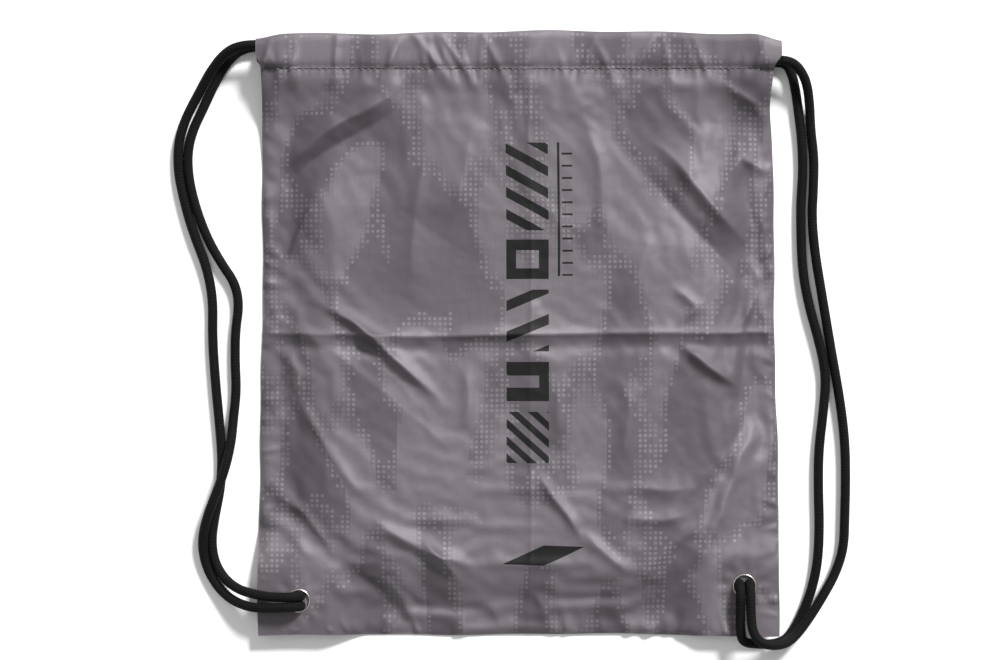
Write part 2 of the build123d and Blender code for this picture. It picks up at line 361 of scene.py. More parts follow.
# each free strand from the hem's end to its knot, in millimetres
leftFrontRoute = metres([
    (-175, 193, 17), (-184.5, 193, 17), (-195.8, 188.2, 14.6), (-206.2, 176.2, 9.4), (-215, 161, 4.8),
    (-223.5, 145.5, 3.3), (-228.8, 128, 3.4), (-228.6, 109, 3.3), (-224.9, 91, 3.4), (-218.8, 69, 3.3),
    (-210, 47, 3.4), (-205.2, 25, 3.3), (-205.6, -3, 3.4), (-203.6, -32, 3.3), (-200.8, -60, 3.4),
    (-198.9, -84, 3.3), (-200.2, -104, 3.4), (-204, -122, 3.3), (-206.4, -139, 3.4), (-204, -153.5, 3.5),
    (-196.8, -164.4, 6.2), (-187.2, -170.6, 11), (-176.2, -173.2, 15.4), (-166.6, -174.7, 17.8),
    (-158.4, -174.9, 19.4), (-150, -174.7, 19.6), (-145.5, -174.7, 15.2), (-145.5, -174.7, 9),
])
leftBackRoute = metres([
    (-175, 193, 4), (-183.5, 193, 4), (-194.6, 185, 3.3), (-204, 169, 3.4), (-211.2, 153, 3.3),
    (-218.1, 139, 3.4), (-222.2, 124, 3.3), (-221.9, 107, 3.4), (-217.5, 87, 3.3), (-209.4, 65, 3.4),
    (-199.5, 47.5, 3.3), (-190.4, 34.5, 3.4), (-187.6, 20, 3.3), (-190.2, 2, 3.4), (-190.4, -18, 3.3),
    (-189.4, -38, 3.4), (-191.4, -56, 3.8), (-192.6, -72, 6.6), (-195.8, -88, 10.2), (-201.6, -105, 10.6),
    (-208.2, -121, 9.6), (-212.4, -138, 6.2), (-210.6, -153, 3.8), (-204.6, -166, 3.4),
    (-195.8, -175.6, 5.6), (-186, -180.4, 10.6), (-176.4, -182.2, 15.2), (-167, -182.3, 17.6),
    (-158.8, -181.7, 19.3), (-150, -181.3, 19.6), (-145.5, -181.3, 15.2), (-145.5, -181.3, 9),
])
rightFrontRoute = metres([
    (175, 182.6, 17), (180.6, 182.4, 17), (187.2, 177.6, 15.6), (192.8, 168, 11.8), (195.2, 153.6, 7),
    (196.2, 137.5, 3.7), (198.6, 119, 3.3), (198.2, 99, 3.4), (197, 79, 3.3), (199, 56, 3.4),
    (202.6, 34, 3.3), (206.6, 10, 3.4), (211, -16, 3.3), (216, -44, 3.4), (219.4, -72, 3.3),
    (219.8, -98, 3.4), (219.2, -122, 3.3), (218.6, -143, 3.4), (213, -160, 4.6), (204.2, -175, 7.4),
    (195, -189, 9.8), (186.2, -200.4, 12.2), (178, -206.2, 16.6), (168.6, -206.8, 21.4),
    (160, -204.6, 22.8), (155, -196.8, 21.8), (154.4, -185.2, 20.4), (154.3, -173.6, 19.7),
    (154.3, -166.4, 15.2), (154.3, -166.4, 9),
])
rightBackRoute = metres([
    (175, 182.6, 4), (180, 182, 4), (183.8, 174.8, 3.5), (186.2, 164, 3.3), (188.2, 149, 3.4),
    (190.4, 131, 3.3), (191.2, 110, 3.4), (189.6, 88, 3.3), (189.8, 66, 3.4), (190.8, 42, 3.3),
    (195.4, 18, 3.4), (202.4, -6, 3.3), (206.8, -28, 3.4), (204.8, -52, 3.3), (201.6, -78, 3.4),
    (201.4, -104, 3.3), (202.2, -130, 3.4), (201, -154, 3.3), (196.6, -173, 3.4), (191, -187, 3.3),
    (185.2, -198, 4.2), (179, -204.6, 7), (170.8, -206.8, 12.2), (160, -206.6, 14.8), (149.6, -205.4, 15),
    (147.9, -198, 15.4), (147.7, -187, 17), (147.7, -173.6, 19.1), (147.7, -166.4, 15.2),
    (147.7, -166.4, 9),
])
frontCordZ = leftFrontRoute[0][2]
backCordZ = leftBackRoute[0][2]


def smoothLine(name, route, slices):  # the points of the route's own smooth spline
    curve = bpy.data.curves.new(name, "CURVE")
    curve.dimensions = "3D"
    spline = curve.splines.new("NURBS")
    spline.points.add(len(route) - 1)
    for point, place in zip(spline.points, route):
        point.co = (*place, 1)
    spline.order_u = 3
    spline.use_endpoint_u = True
    spline.resolution_u = slices
    curve.resolution_u = slices
    holder = bpy.data.objects.new(name, curve)
    mesh = bpy.data.meshes.new_from_object(holder)
    line = [vertex.co.copy() for vertex in mesh.vertices]
    bpy.data.objects.remove(holder)
    bpy.data.meshes.remove(mesh)
    bpy.data.curves.remove(curve)
    return line


def lineLength(line):
    return sum((b - a).length for a, b in zip(line, line[1:]))


def ringPlaces(line):  # a turn and a place for each ring, carried along without twist
    places = []
    side = None
    for i, point in enumerate(line):
        ahead = line[min(i + 1, len(line) - 1)] - line[max(i - 1, 0)]
        ahead.normalize()
        if side is None:
            side = ahead.orthogonal().normalized()
        side = (side - ahead * side.dot(ahead)).normalized()
        places.append(Matrix((side, ahead.cross(side), ahead)).transposed().to_4x4())
        places[-1].translation = point
    return places


def meshFrom(name, build):
    mesh = bpy.data.meshes.new(name)
    build.to_mesh(mesh)
    build.free()
    return mesh


def bmeshFrom(mesh):
    build = bmesh.new()
    build.from_mesh(mesh)
    return build


def addObject(name, data):
    made = bpy.data.objects.new(name, data)
    scene.collection.objects.link(made)
    return made


def finalMesh(piece):  # its mesh with the modifiers applied
    return bpy.data.meshes.new_from_object(piece.evaluated_get(bpy.context.evaluated_depsgraph_get()))


def addWall(piece, thickness, offset):
    wall = piece.modifiers.new("thickness", "SOLIDIFY")
    wall.thickness = thickness
    wall.offset = offset


def addPiece(name, build, finish, smooth=True):  # turns a bmesh into a finished piece
    mesh = meshFrom(name, build)
    piece = addObject(name, mesh)
    if finish is not None:
        mesh.materials.append(finish)
    if smooth:
        mesh.shade_smooth()
    return piece


def tubeMesh(line, radius, sides):  # a ring drawn out along the line; its UV map is the place on the cord
    build = bmesh.new()
    along = build.verts.layers.float.new("along")
    around = build.verts.layers.float.new("around")
    places = ringPlaces(line)
    ring = bmesh.ops.create_circle(build, segments=sides, radius=radius)["verts"]
    for i, vert in enumerate(ring):
        vert[around] = i / sides
    edges = list(build.edges)
    bmesh.ops.transform(build, matrix=places[0], verts=ring)
    gone = 0.0
    for i in range(1, len(line)):
        gone += (line[i] - line[i - 1]).length
        drawn = bmesh.ops.extrude_edge_only(build, edges=edges)["geom"]
        verts = [item for item in drawn if isinstance(item, bmesh.types.BMVert)]
        edges = [item for item in drawn if isinstance(item, bmesh.types.BMEdge)]
        bmesh.ops.transform(build, matrix=places[i] @ places[i - 1].inverted(), verts=verts)
        for vert in verts:
            vert[along] = gone
    bmesh.ops.holes_fill(build, edges=[edge for edge in build.edges if edge.is_boundary], sides=0)
    bmesh.ops.recalc_face_normals(build, faces=build.faces)
    layer = build.loops.layers.uv.new("cordPlace")
    for face in build.faces:
        wraps = max(v[around] for v in face.verts) > 0.6
        for loop in face.loops:
            turn = loop.vert[around]
            loop[layer].uv = (loop.vert[along], turn + 1 if wraps and turn < 0.4 else turn)
    return build


def cordPiece(name, route, slices=cordLook["slices"]):
    line = smoothLine(name, route, slices)
    build = tubeMesh(line, cordLook["radius"], cordLook["sides"])
    return addPiece(name, build, blackCord), line


for side, layer, route in (("left", "Front", leftFrontRoute), ("left", "Back", leftBackRoute),
                           ("right", "Front", rightFrontRoute), ("right", "Back", rightBackRoute)):
    strand, line = cordPiece(f"{side}Cord{layer}Strand", route)
    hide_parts(f"{side}_cord_{layer.lower()}_strand")
    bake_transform(strand)
    lineLength(line)

hemRun = {  # the cord's run inside the hem
    "pressed": 2.7 * mm,
    "drawnIn": 2.2 * mm,
    "aside": {"left": -1.6 * mm, "right": 1.4 * mm},
}
for side, sign, first in (("left", -1, leftFrontRoute), ("right", 1, rightFrontRoute)):
    y = first[0][1]
    far = -sign * (max(abs(end[0]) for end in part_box(f"{side}_cord_far_bend")) - cordLook["radius"])
    turn = far + sign * (frontCordZ - backCordZ) / 2
    far += sign * hemRun["drawnIn"]
    turn += sign * hemRun["drawnIn"]
    inside = y + hemRun["aside"][side]
    low = frontCordZ - hemRun["pressed"]
    deep = sign * (halfWidth - 20 * mm)
    run = [(sign * halfWidth, y, frontCordZ), (sign * (halfWidth - 6 * mm), y, frontCordZ - 0.2 * mm),
           (deep, inside, low), (turn, inside, low), (far, inside, low),
           (far, inside, backCordZ), (turn, inside, backCordZ), (deep, inside, backCordZ),
           (sign * (halfWidth - 8 * mm), y, backCordZ), (sign * halfWidth, y, backCordZ)]
    piece, _ = cordPiece(f"{side}CordInHem", run, slices=16)
    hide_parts(f"{side}_cord_front_run", f"{side}_cord_back_run", f"{side}_cord_far_bend")
    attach(piece, f"{side}_draw")
print("cords laid")


# the shape of the cloth: everything below works on arrays of flat places, in metres
clothShape = {
    "thickness": 0.45 * mm,
    "loft": 16.5 * mm,
    "padHeight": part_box("left_corner_patch")[0][2] - 0.35 * mm,
    "seamGap": 1.5 * mm,
    "leastGap": 1.05 * mm,
    "slope": 46 * mm,
    "simPitch": 5.0 * mm,
    "backGrid": (96, 104),
    "spare": 0.012,
    "frames": 26,
}
rng = np.random.default_rng(7)


def ease(t):
    t = np.clip(t, 0, 1)
    return t * t * (3 - 2 * t)


def sideX(sign, y):  # the bag's side edge
    t = (y - footY) / (stitchY - footY)
    if sign < 0:
        waves = 0.35 * np.sin(y / 0.021) + 0.25 * np.sin(y / 0.0083 + 1)
        return -halfWidth + mm * (0.6 + 2.4 * ease((t - 0.15) / 0.5) + waves)
    dip = 2.6 * np.exp(-((y - 0.156) / 0.017) ** 2)
    waves = 0.5 * np.sin(y / 0.026 + 2) + 0.3 * np.sin(y / 0.0091)
    return halfWidth - mm * (0.2 + 3.6 * ease((t - 0.1) / 0.75) + dip + waves)


def bottomY(x):
    return footY + mm * (0.5 + 0.5 * np.sin(x / 0.031) + 0.3 * np.sin(x / 0.011 + 2))


def hemX(x, y):  # the hem flares a little past the cloth below it
    t = ease((y - stitchY) / (13 * mm))
    side = sideX(-1, np.array([stitchY]))[0], sideX(1, np.array([stitchY]))[0]
    flat = (x - side[0]) / (side[1] - side[0])
    wide = -halfWidth + flat * 2 * halfWidth
    return x + (wide - x) * t


# puckers that cross the stitch line: place, lean, height, width, reach down the panel
puckers = []
for i in range(34):
    puckers.append((rng.uniform(-0.172, 0.172), rng.uniform(-0.45, 0.45), rng.uniform(0.4, 1.9) * mm,
                    rng.uniform(1.6, 3.6) * mm, rng.uniform(7, 34) * mm, rng.uniform(6, 22) * mm))
for place, lean, height, width, down, up in (
    (-0.122, 0.05, 2.3, 2.2, 26, 24), (-0.052, -0.75, 2.4, 3.2, 30, 24), (-0.036, -0.7, 1.9, 2.4, 18, 24),
    (-0.012, -0.5, 1.8, 2.6, 30, 22), (0.060, -0.5, 2.2, 3.0, 34, 14), (0.078, 0.55, 1.9, 2.6, 12, 24),
    (0.124, -0.35, 2.2, 3.2, 14, 22), (0.030, -0.35, 1.6, 2.8, 40, 10), (-0.150, 0.1, 1.8, 2.8, 22, 16),
    (0.158, 0.3, 1.8, 2.4, 10, 22), (-0.088, 0.45, 1.8, 3.0, 34, 16), (0.100, -0.2, 1.6, 2.2, 20, 18)):
    puckers.append((place, lean, height * mm, width * mm, down * mm, up * mm))


def puckerHeight(x, y):
    high = np.zeros_like(x)
    above = y - stitchY
    for place, lean, height, width, down, up in puckers:
        middle = place + lean * above * np.where(above > 0, 1.0, 0.7)
        below = np.maximum(-above, 0)
        fade = np.where(above > 0, np.exp(-(np.maximum(above, 0) / up) ** 2), np.exp(-below / down))
        spread = width * (1 + 0.05 * below / mm)
        high += height * fade * np.exp(-((x - middle) / spread) ** 2)
    tiny = np.sin(x / (0.78 * mm) + 2.5 * np.sin(x / 0.013)) * np.exp(-np.abs(above) / (3.2 * mm))
    return high + 0.32 * mm * tiny - 0.1 * mm * np.exp(-(above / (1.1 * mm)) ** 2)


# short crimps along the sewn edges: which edge, place, lean, height, width, reach
crimps = []
for edge, count, low, high in (
        ("foot", 40, -0.168, 0.168), ("left", 26, -0.19, 0.16), ("right", 26, -0.19, 0.16)):
    for i in range(count):
        crimps.append((edge, rng.uniform(low, high), rng.uniform(-0.5, 0.5), rng.uniform(0.5, 1.5) * mm,
                       rng.uniform(1.6, 3.8) * mm, rng.uniform(5, 19) * mm))


def crimpHeight(x, y):
    high = np.zeros_like(x)
    inwards = {"foot": y - bottomY(x), "left": x - sideX(-1, y), "right": sideX(1, y) - x}
    for edge, place, lean, height, width, reach in crimps:
        inside = np.maximum(inwards[edge], 0)
        along = (x if edge == "foot" else y) - place - lean * inside
        high += height * np.exp(-(inside / reach) ** 1.5 - (along / (width * (1 + 30 * inside))) ** 2)
    nearest = np.minimum(np.minimum(inwards["foot"], inwards["left"]), inwards["right"])
    return high * ease(nearest / (2.5 * mm))


# folds laid in the cloth: height, width on each side of the line, then the line's points in millimetres
clothFolds = [
    (4.2, 7, 3.2, [(-138, 24), (-120, 14), (-105, 6), (-78, -20), (-49, -46)]),
    (3.4, 7, 3, [(100, -2), (110, -9), (130, -25), (148, -37)]),
    (4.6, 10, 8, [(82, 132), (98, 122), (112, 104), (138, 74), (165, 48)]),
    (-2.6, 9, 9, [(80, 112), (100, 88), (128, 58), (152, 32)]),
    (2.4, 3.2, 3.2, [(149, 55), (163, 33), (152, 14), (143, 0)]),
    (3.6, 9, 6, [(-72, 168), (-94, 152), (-126, 138), (-150, 118), (-171, 100)]),
    (-2.6, 7, 9, [(-70, 158), (-92, 142), (-128, 124), (-166, 92)]),
    (3.4, 9, 5, [(-126, 102), (-140, 82), (-152, 56), (-160, 34)]),
    (-2.0, 6, 6, [(-136, 96), (-148, 72), (-160, 40)]),
    (3.2, 6, 8, [(-150, -36), (-138, -60), (-122, -88), (-100, -110)]),
    (-2.4, 6, 6, [(-144, -52), (-132, -74), (-108, -106)]),
    (3.0, 7, 4, [(-104, -116), (-84, -132), (-58, -146), (-24, -156)]),
    (2.8, 4, 3, [(-66, -134), (-52, -148), (-38, -166)]),
    (2.6, 3, 3, [(10, -86), (18, -102), (32, -118), (44, -140)]),
    (2.2, 4, 6, [(40, -128), (58, -146), (76, -160)]),
    (3.8, 12, 12, [(160, -52), (146, -82), (134, -122), (118, -160)]),
    (-2.4, 10, 10, [(146, -66), (130, -110), (116, -150)]),
    (3.0, 5, 7, [(152, -140), (134, -158), (112, -186)]),
    (2.6, 4, 5, [(132, 172), (146, 160), (166, 150)]),
    (2.4, 6, 4, [(146, 120), (158, 112), (170, 110)]),
    (2.0, 4, 4, [(98, 34), (112, 24), (118, 18), (104, 6)]),
    (2.2, 10, 10, [(-60, 130), (-66, 100), (-72, 60), (-70, 20)]),
    (1.8, 10, 8, [(-30, 150), (-36, 110), (-46, 70)]),
    (2.2, 9, 9, [(40, 150), (52, 120), (56, 90), (50, 60)]),
    (1.8, 9, 9, [(88, 70), (78, 40), (66, 14)]),
    (2.0, 10, 8, [(60, -20), (74, -44), (70, -76), (56, -96)]),
    (1.8, 8, 10, [(30, -24), (24, -50), (30, -74)]),
    (2.0, 8, 8, [(-40, -16), (-32, -40), (-38, -66)]),
    (1.6, 7, 7, [(-170, -20), (-150, -30), (-146, -50)]),
    (2.0, 5, 5, [(-172, -6), (-156, -14), (-146, -30), (-160, -48)]),
    (1.8, 5, 5, [(-172, -108), (-150, -112), (-138, -126), (-120, -150)]),
    (2.2, 5, 5, [(-160, -128), (-146, -142), (-132, -160), (-128, -186)]),
    (1.6, 5, 5, [(-90, -160), (-78, -176), (-70, -196)]),
    (1.6, 4, 4, [(10, -170), (16, -184), (22, -198)]),
    (1.4, 4, 4, [(-20, -178), (-14, -188), (-12, -200)]),
    (1.8, 9, 6, [(70, -98), (96, -104), (120, -100)]),
    (1.8, 7, 5, [(66, -120), (92, -124), (116, -118)]),
]


def lineDistance(x, y, points):  # signed distance from a line of points, and how far along it, 0 to 1
    best = np.full(x.shape, 9.0)
    signed = np.full(x.shape, 9.0)
    place = np.zeros(x.shape)
    steps = [math.dist(a, b) for a, b in zip(points, points[1:])]
    whole = sum(steps)
    gone = 0.0
    for (ax, ay), (bx, by), step in zip(points, points[1:], steps):
        ux, uy = (bx - ax) / step, (by - ay) / step
        t = np.clip((x - ax) * ux + (y - ay) * uy, 0, step)
        dx, dy = x - ax - t * ux, y - ay - t * uy
        distance = np.hypot(dx, dy)
        nearer = distance < best
        best = np.where(nearer, distance, best)
        signed = np.where(nearer, np.copysign(distance, ux * dy - uy * dx), signed)
        place = np.where(nearer, (gone + t) / whole, place)
        gone += step
    return signed, place


def smoothPoints(points, times=2):  # cuts a line's corners
    for _ in range(times):
        cut = [points[0]]
        for (ax, ay), (bx, by) in zip(points, points[1:]):
            for share in (0.25, 0.75):
                cut.append((ax * (1 - share) + bx * share, ay * (1 - share) + by * share))
        points = cut + [points[-1]]
    return points


def foldHeight(x, y, share):
    high = np.zeros_like(x)
    for height, leftWidth, rightWidth, points in clothFolds:
        line = smoothPoints([(a * mm, b * mm) for a, b in points])
        signed, along = lineDistance(x, y, line)
        width = np.where(signed > 0, leftWidth, rightWidth) * mm
        taper = ease(along / 0.36) * ease((1 - along) / 0.36)
        high += height * mm * taper * np.exp(-(np.sqrt(signed ** 2 + (0.5 * mm) ** 2) / width) ** 1.15)
    return high * share


def roughness(x, y, size, seed):  # smooth noise of that feature size, from about -1 to 1
    return np.array([noise.noise((a / size, b / size, seed)) for a, b in zip(x, y)]) * 1.6


def crumple(x, y, size, seed, turn=-0.75):  # flats between sharp ridges, longer along the turn
    along = (x * math.cos(turn) + y * math.sin(turn)) / 1.7
    across = y * math.cos(turn) - x * math.sin(turn)
    ridges = roughness(along, across, size, seed)
    return 0.7 - 2.2 * np.sqrt(ridges ** 2 + 0.004)


def padRise(x, y, place):  # how far a corner is lifted by the knot beneath it
    reach = np.abs(x) - 100 * mm
    low = -127 * mm - y
    return np.where(x * place > 0, ease(reach / (30 * mm)) * ease(low / (30 * mm)), 0)


def backHeight(x, y):
    pads = padRise(x, y, -1) + padRise(x, y, 1)
    corner = ease((np.abs(x) - 0.115) / 0.06) * ease((y - 0.105) / 0.07)
    return clothShape["padHeight"] * pads + 5.0 * mm * corner + 3.2 * mm * ease((y - 0.15) / 0.026)


def frontHeight(x, y):
    back = backHeight(x, y)
    rim = np.minimum(x - sideX(-1, y), sideX(1, y) - x) - 5 * mm
    foot = y - bottomY(x) - 5 * mm
    rise = ease(rim / clothShape["slope"]) * ease(foot / clothShape["slope"])
    for sign in (-1, 1):
        corner = ((halfWidth - sign * x) + (y - footY)) / math.sqrt(2)
        rise = rise * ease((corner - 40 * mm) / (58 * mm))
    top = clothShape["loft"] + 1.5 * mm * ease((y - 0.10) / 0.07)
    least = clothShape["leastGap"]
    edge = back + least + (clothShape["seamGap"] - least) * ease((np.minimum(rim, foot) + 5 * mm) / (3 * mm))
    high = edge + np.maximum(top - edge, 0) * rise
    hemRise = ease((y - 0.125) / (stitchY - 0.125)) ** 2  # the panel's top edge is lifted by the hem
    return high + hemRise * np.maximum(stitchZ(x) - high, 0)


def stitchZ(x):  # the stitch line's height, lower at the bag's sides
    return 18.4 * mm - 3.4 * mm * ease((np.abs(x) - 0.145) / 0.03)


def facets(x, y, pitch, seed, turn=-0.75):  # flats of random lean, meeting in sharp lines, from -1 to 1
    picks = np.random.default_rng(seed)
    line = np.arange(-0.33, 0.331, pitch)
    across, along = np.meshgrid(line, line)
    spots = np.stack([across, along], 2).reshape(-1, 2)
    spots = spots + picks.uniform(-0.5, 0.5, (line.size ** 2, 2)) * pitch
    high = picks.uniform(-1, 1, len(spots))
    found = geometry.delaunay_2d_cdt([Vector(spot) for spot in spots], [], [], 0, 1e-7)
    corners, _, faces, first, _, _ = found
    tree = BVHTree.FromPolygons([(*corner, high[came[0]]) for corner, came in zip(corners, first)], faces)
    a = (x * math.cos(turn) + y * math.sin(turn)) / 1.5
    b = y * math.cos(turn) - x * math.sin(turn)
    down = Vector((0, 0, -1))
    return np.array([tree.ray_cast(Vector((i, j, 2)), down)[0].z for i, j in zip(a, b)])


def gapShare(x, y):  # how free the front cloth is to crease: least where it lies against the back
    return 0.42 + 0.58 * ease((frontHeight(x, y) - backHeight(x, y) - 1.5 * mm) / (5 * mm))


def creaseHeight(x, y):  # the sharp lines left by folding the bag in a packet
    wander = 0.5 * mm * np.sin(x / 0.035)
    across = y - 1.2 * mm - 5 * x * mm - wander
    high = 1.7 * mm * np.exp(-np.abs(across) / (1.8 * mm)) + 2.0 * mm * np.exp(-np.abs(across) / (12 * mm))
    lower = across + 8.5 * mm
    high -= 1.6 * mm * np.exp(-(lower / (5 * mm)) ** 2)
    along = x - creaseX - 0.6 * mm * np.sin(y / 0.028)
    high += 0.9 * mm * np.exp(-np.abs(along) / (1.6 * mm)) * (0.55 + 0.45 * np.sin(y / 0.022))
    high += 0.9 * mm * np.exp(-np.abs(along) / (9 * mm))
    return high


def gridMesh(columns, rows):  # with each point's share of the width and of the length
    build = bmesh.new()
    bmesh.ops.create_grid(build, x_segments=columns, y_segments=rows, size=0.5)
    places = np.array([vert.co for vert in build.verts])
    return build, places[:, 0] + 0.5, places[:, 1] + 0.5


def panelFlat(s, t):  # from shares of the panel to its flat outline
    y = footY + t * (stitchY - footY)
    left, right = sideX(-1, y), sideX(1, y)
    x = left + s * (right - left)
    low = bottomY(x)
    y = low + t * (stitchY - low)
    return x, y


def putPlaces(mesh, x, y, z):
    mesh.vertices.foreach_set("co", np.stack([x, y, z], 1).astype(np.float32).ravel())
    mesh.update()


def readPlaces(mesh):
    co = np.empty(len(mesh.vertices) * 3, np.float32)
    mesh.vertices.foreach_get("co", co)
    return co.reshape(-1, 3).astype(float)


def clothMesh(name, build, x, y, z, side, flatY=None):  # flatPlace is what the cloth's pattern follows
    mesh = meshFrom(name, build)
    putPlaces(mesh, x, y, z)
    flatPlace = np.stack([x, y if flatY is None else flatY, np.full(len(x), side)], 1)
    layer = mesh.attributes.new("flatPlace", "FLOAT_VECTOR", "POINT")
    layer.data.foreach_set("vector", flatPlace.astype(np.float32).ravel())
    return mesh


clothFeel = {
    "quality": 7,
    "mass": 0.12,
    "tension_stiffness": 12,
    "compression_stiffness": 12,
    "shear_stiffness": 4,
    "bending_stiffness": 0.06,
    "air_damping": 2,
}


def drape(piece, support, pinned):  # lets the cloth settle over the support, with a little spare in it
    group = piece.vertex_groups.new(name="sewn")
    group.add([int(i) for i in np.nonzero(pinned)[0]], 1.0, "REPLACE")
    support.modifiers.new("under", "COLLISION")
    support.collision.thickness_outer = 0.8 * mm
    support.collision.cloth_friction = 12
    cloth = piece.modifiers.new("settle", "CLOTH")
    for key, value in clothFeel.items():
        setattr(cloth.settings, key, value)
    cloth.settings.vertex_group_mass = "sewn"
    cloth.settings.shrink_min = -clothShape["spare"]
    cloth.collision_settings.distance_min = 0.8 * mm
    cloth.collision_settings.use_self_collision = False
    for number in range(1, clothShape["frames"] + 1):
        scene.frame_set(number)
    settled = finalMesh(piece)
    piece.modifiers.remove(cloth)
    scene.frame_set(1)
    return settled


def frontSheet():
    pitch = clothShape["simPitch"]
    build, s, t = gridMesh(round(2 * halfWidth / pitch), round((stitchY - footY) / pitch))
    x, y = panelFlat(s, t)
    edge = np.minimum(np.minimum(s, 1 - s), t) < 1e-6
    top = t > 1 - 1e-6
    rise = ease(np.minimum(np.minimum(s, 1 - s) * 20, t * 20))
    z = frontHeight(x, y) + 0.85 * puckerHeight(x, y) * rise
    rise = rise * gapShare(x, y) * ease((stitchY - y) / (12 * mm))
    z += foldHeight(x, y, 0.7) * rise
    z += rise * mm * (1.2 * crumple(x, y, 0.066, 3.1) + 2.2 * facets(x, y, 0.046, 12)
                      + 0.8 * facets(x, y, 0.024, 5, 0.6))
    mesh = clothMesh("frontSheet", build, x, y, z, 1)
    piece = addObject("frontSheet", mesh)
    lower = mesh.copy()
    putPlaces(lower, x, y, np.minimum(frontHeight(x, y) - 3.0 * mm * rise, z - 1.2 * mm))
    support = addObject("lowerSheet", lower)
    pads = (padRise(x, y, -1) + padRise(x, y, 1)) > 0.9
    settled = drape(piece, support, edge | top | pads)
    bpy.data.objects.remove(piece)
    bpy.data.objects.remove(support)
    return settled


def backSheet():
    build, s, t = gridMesh(*clothShape["backGrid"])
    x, y = panelFlat(s, t)
    rise = ease(np.minimum(np.minimum(s, 1 - s) * 14, t * 14))
    z = backHeight(x, y) + 0.55 * mm
    rise = rise * ease((frontHeight(x, y) - z - 1.2 * mm) / (5 * mm))
    bumps = 0.8 * mm * roughness(x, y, 0.03, 5.5) + 0.5 * mm * roughness(x, y, 0.012, 1.5)
    z += rise * np.maximum(bumps, 0)
    return clothMesh("backSheet", build, x, y, z, -1)


def finerMesh(mesh, levels):  # one smooth subdivision after another, kept in the mesh
    holder = addObject("finer", mesh)
    finer = holder.modifiers.new("finer", "SUBSURF")
    finer.levels = finer.render_levels = levels
    finer.boundary_smooth = "PRESERVE_CORNERS"
    made = finalMesh(holder)
    bpy.data.objects.remove(holder)
    return made


opening = {"cut": 6.6 * mm, "bore": 7.0 * mm, "reach": 12 * mm}


def pierce(mesh):  # opens the cloth inside each eyelet
    build = bmeshFrom(mesh)
    inside = [vert for vert in build.verts for place in eyeletPlace.values()
              if math.hypot(vert.co.x - place.x, vert.co.y - place.y) < opening["cut"]]
    bmesh.ops.delete(build, geom=inside, context="VERTS")
    for place in eyeletPlace.values():  # the cut edge is rounded to the eyelet's own bore
        for vert in build.verts:
            far = math.hypot(vert.co.x - place.x, vert.co.y - place.y)
            if vert.is_boundary and far < opening["reach"]:
                vert.co.x = place.x + (vert.co.x - place.x) * opening["bore"] / far
                vert.co.y = place.y + (vert.co.y - place.y) * opening["bore"] / far
    build.to_mesh(mesh)
    build.free()


def halfPiece(name, mesh, left, finish, thickness):
    build = bmeshFrom(mesh)
    bmesh.ops.bisect_plane(build, geom=build.verts[:] + build.edges[:] + build.faces[:], dist=1e-6,
                           plane_co=(creaseX, 0, 0), plane_no=(1, 0, 0),
                           clear_outer=left, clear_inner=not left)
    for edge in build.edges:
        edge.smooth = not edge.is_boundary  # keeps the wall's rim from shading the cloth beside it
    piece = addPiece(name, build, finish)
    addWall(piece, thickness, -1)
    return piece


def gatherBlend(piece, left):  # bakes the half's placing into its mesh; the corner and across worked out here are not used
    sign = -1 if left else 1
    corner = Vector((sign * halfWidth, mouthY, 0))
    across = Vector((sign / (halfWidth - sign * creaseX), 1 / (mouthY + 0.02), 0))
    across = across / across.length_squared
    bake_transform(piece)


halves = (("Left", True), ("Right", False))

# the front and back cloth
frontMesh = finerMesh(frontSheet(), 2)
places = readPlaces(frontMesh)
flat = np.empty(len(frontMesh.vertices) * 3, np.float32)
frontMesh.attributes["flatPlace"].data.foreach_get("vector", flat)
fx, fy = flat.reshape(-1, 3)[:, 0].astype(float), flat.reshape(-1, 3)[:, 1].astype(float)
inner = ease(np.minimum(np.minimum(fx - sideX(-1, fy), sideX(1, fy) - fx), fy - bottomY(fx)) / (10 * mm))
calm = 1 - ease((padRise(fx, fy, -1) + padRise(fx, fy, 1) - 0.6) / 0.4)
detail = creaseHeight(fx, fy) * (0.3 + 0.7 * inner) * calm
free = gapShare(fx, fy)
detail += foldHeight(fx, fy, 1.3) * inner * calm * free
detail += mm * free * (2.1 * facets(fx, fy, 0.042, 31, -0.6) + 0.5 * facets(fx, fy, 0.019, 8, 0.9))
detail += mm * free * (0.08 * facets(fx, fy, 0.009, 4, -0.4) + 0.12 * crumple(fx, fy, 0.024, 2.2))
detail += mm * 0.06 * roughness(fx, fy, 0.0045, 6.1) + crimpHeight(fx, fy)
places[:, 2] += detail * ease((stitchY - fy) / (5 * mm))
sewn = frontHeight(fx, fy) + 0.85 * puckerHeight(fx, fy)
places[:, 2] += (sewn - places[:, 2]) * (1 - ease((stitchY - fy - 1 * mm) / (17 * mm)))
lowest = backHeight(fx, fy) + clothShape["leastGap"]
places[:, 2] = np.maximum(places[:, 2], lowest + 0.35 * mm * inner)
for side, place in eyeletPlace.items():  # the cloth lies flat under each eyelet, with small pleats round it
    dx, dy = fx - place.x, fy - place.y
    far = np.hypot(dx, dy)
    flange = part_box(f"{side}_eyelet")[1][2] - 0.75 * mm
    hold = 1 - ease((far - 10.5 * mm) / (13 * mm))
    pleats = 0.45 * mm * np.cos(9 * np.arctan2(dy, dx) + 1) * ease((far - 9 * mm) / (5 * mm))
    places[:, 2] += (flange + pleats - places[:, 2]) * hold
putPlaces(frontMesh, *places.T)

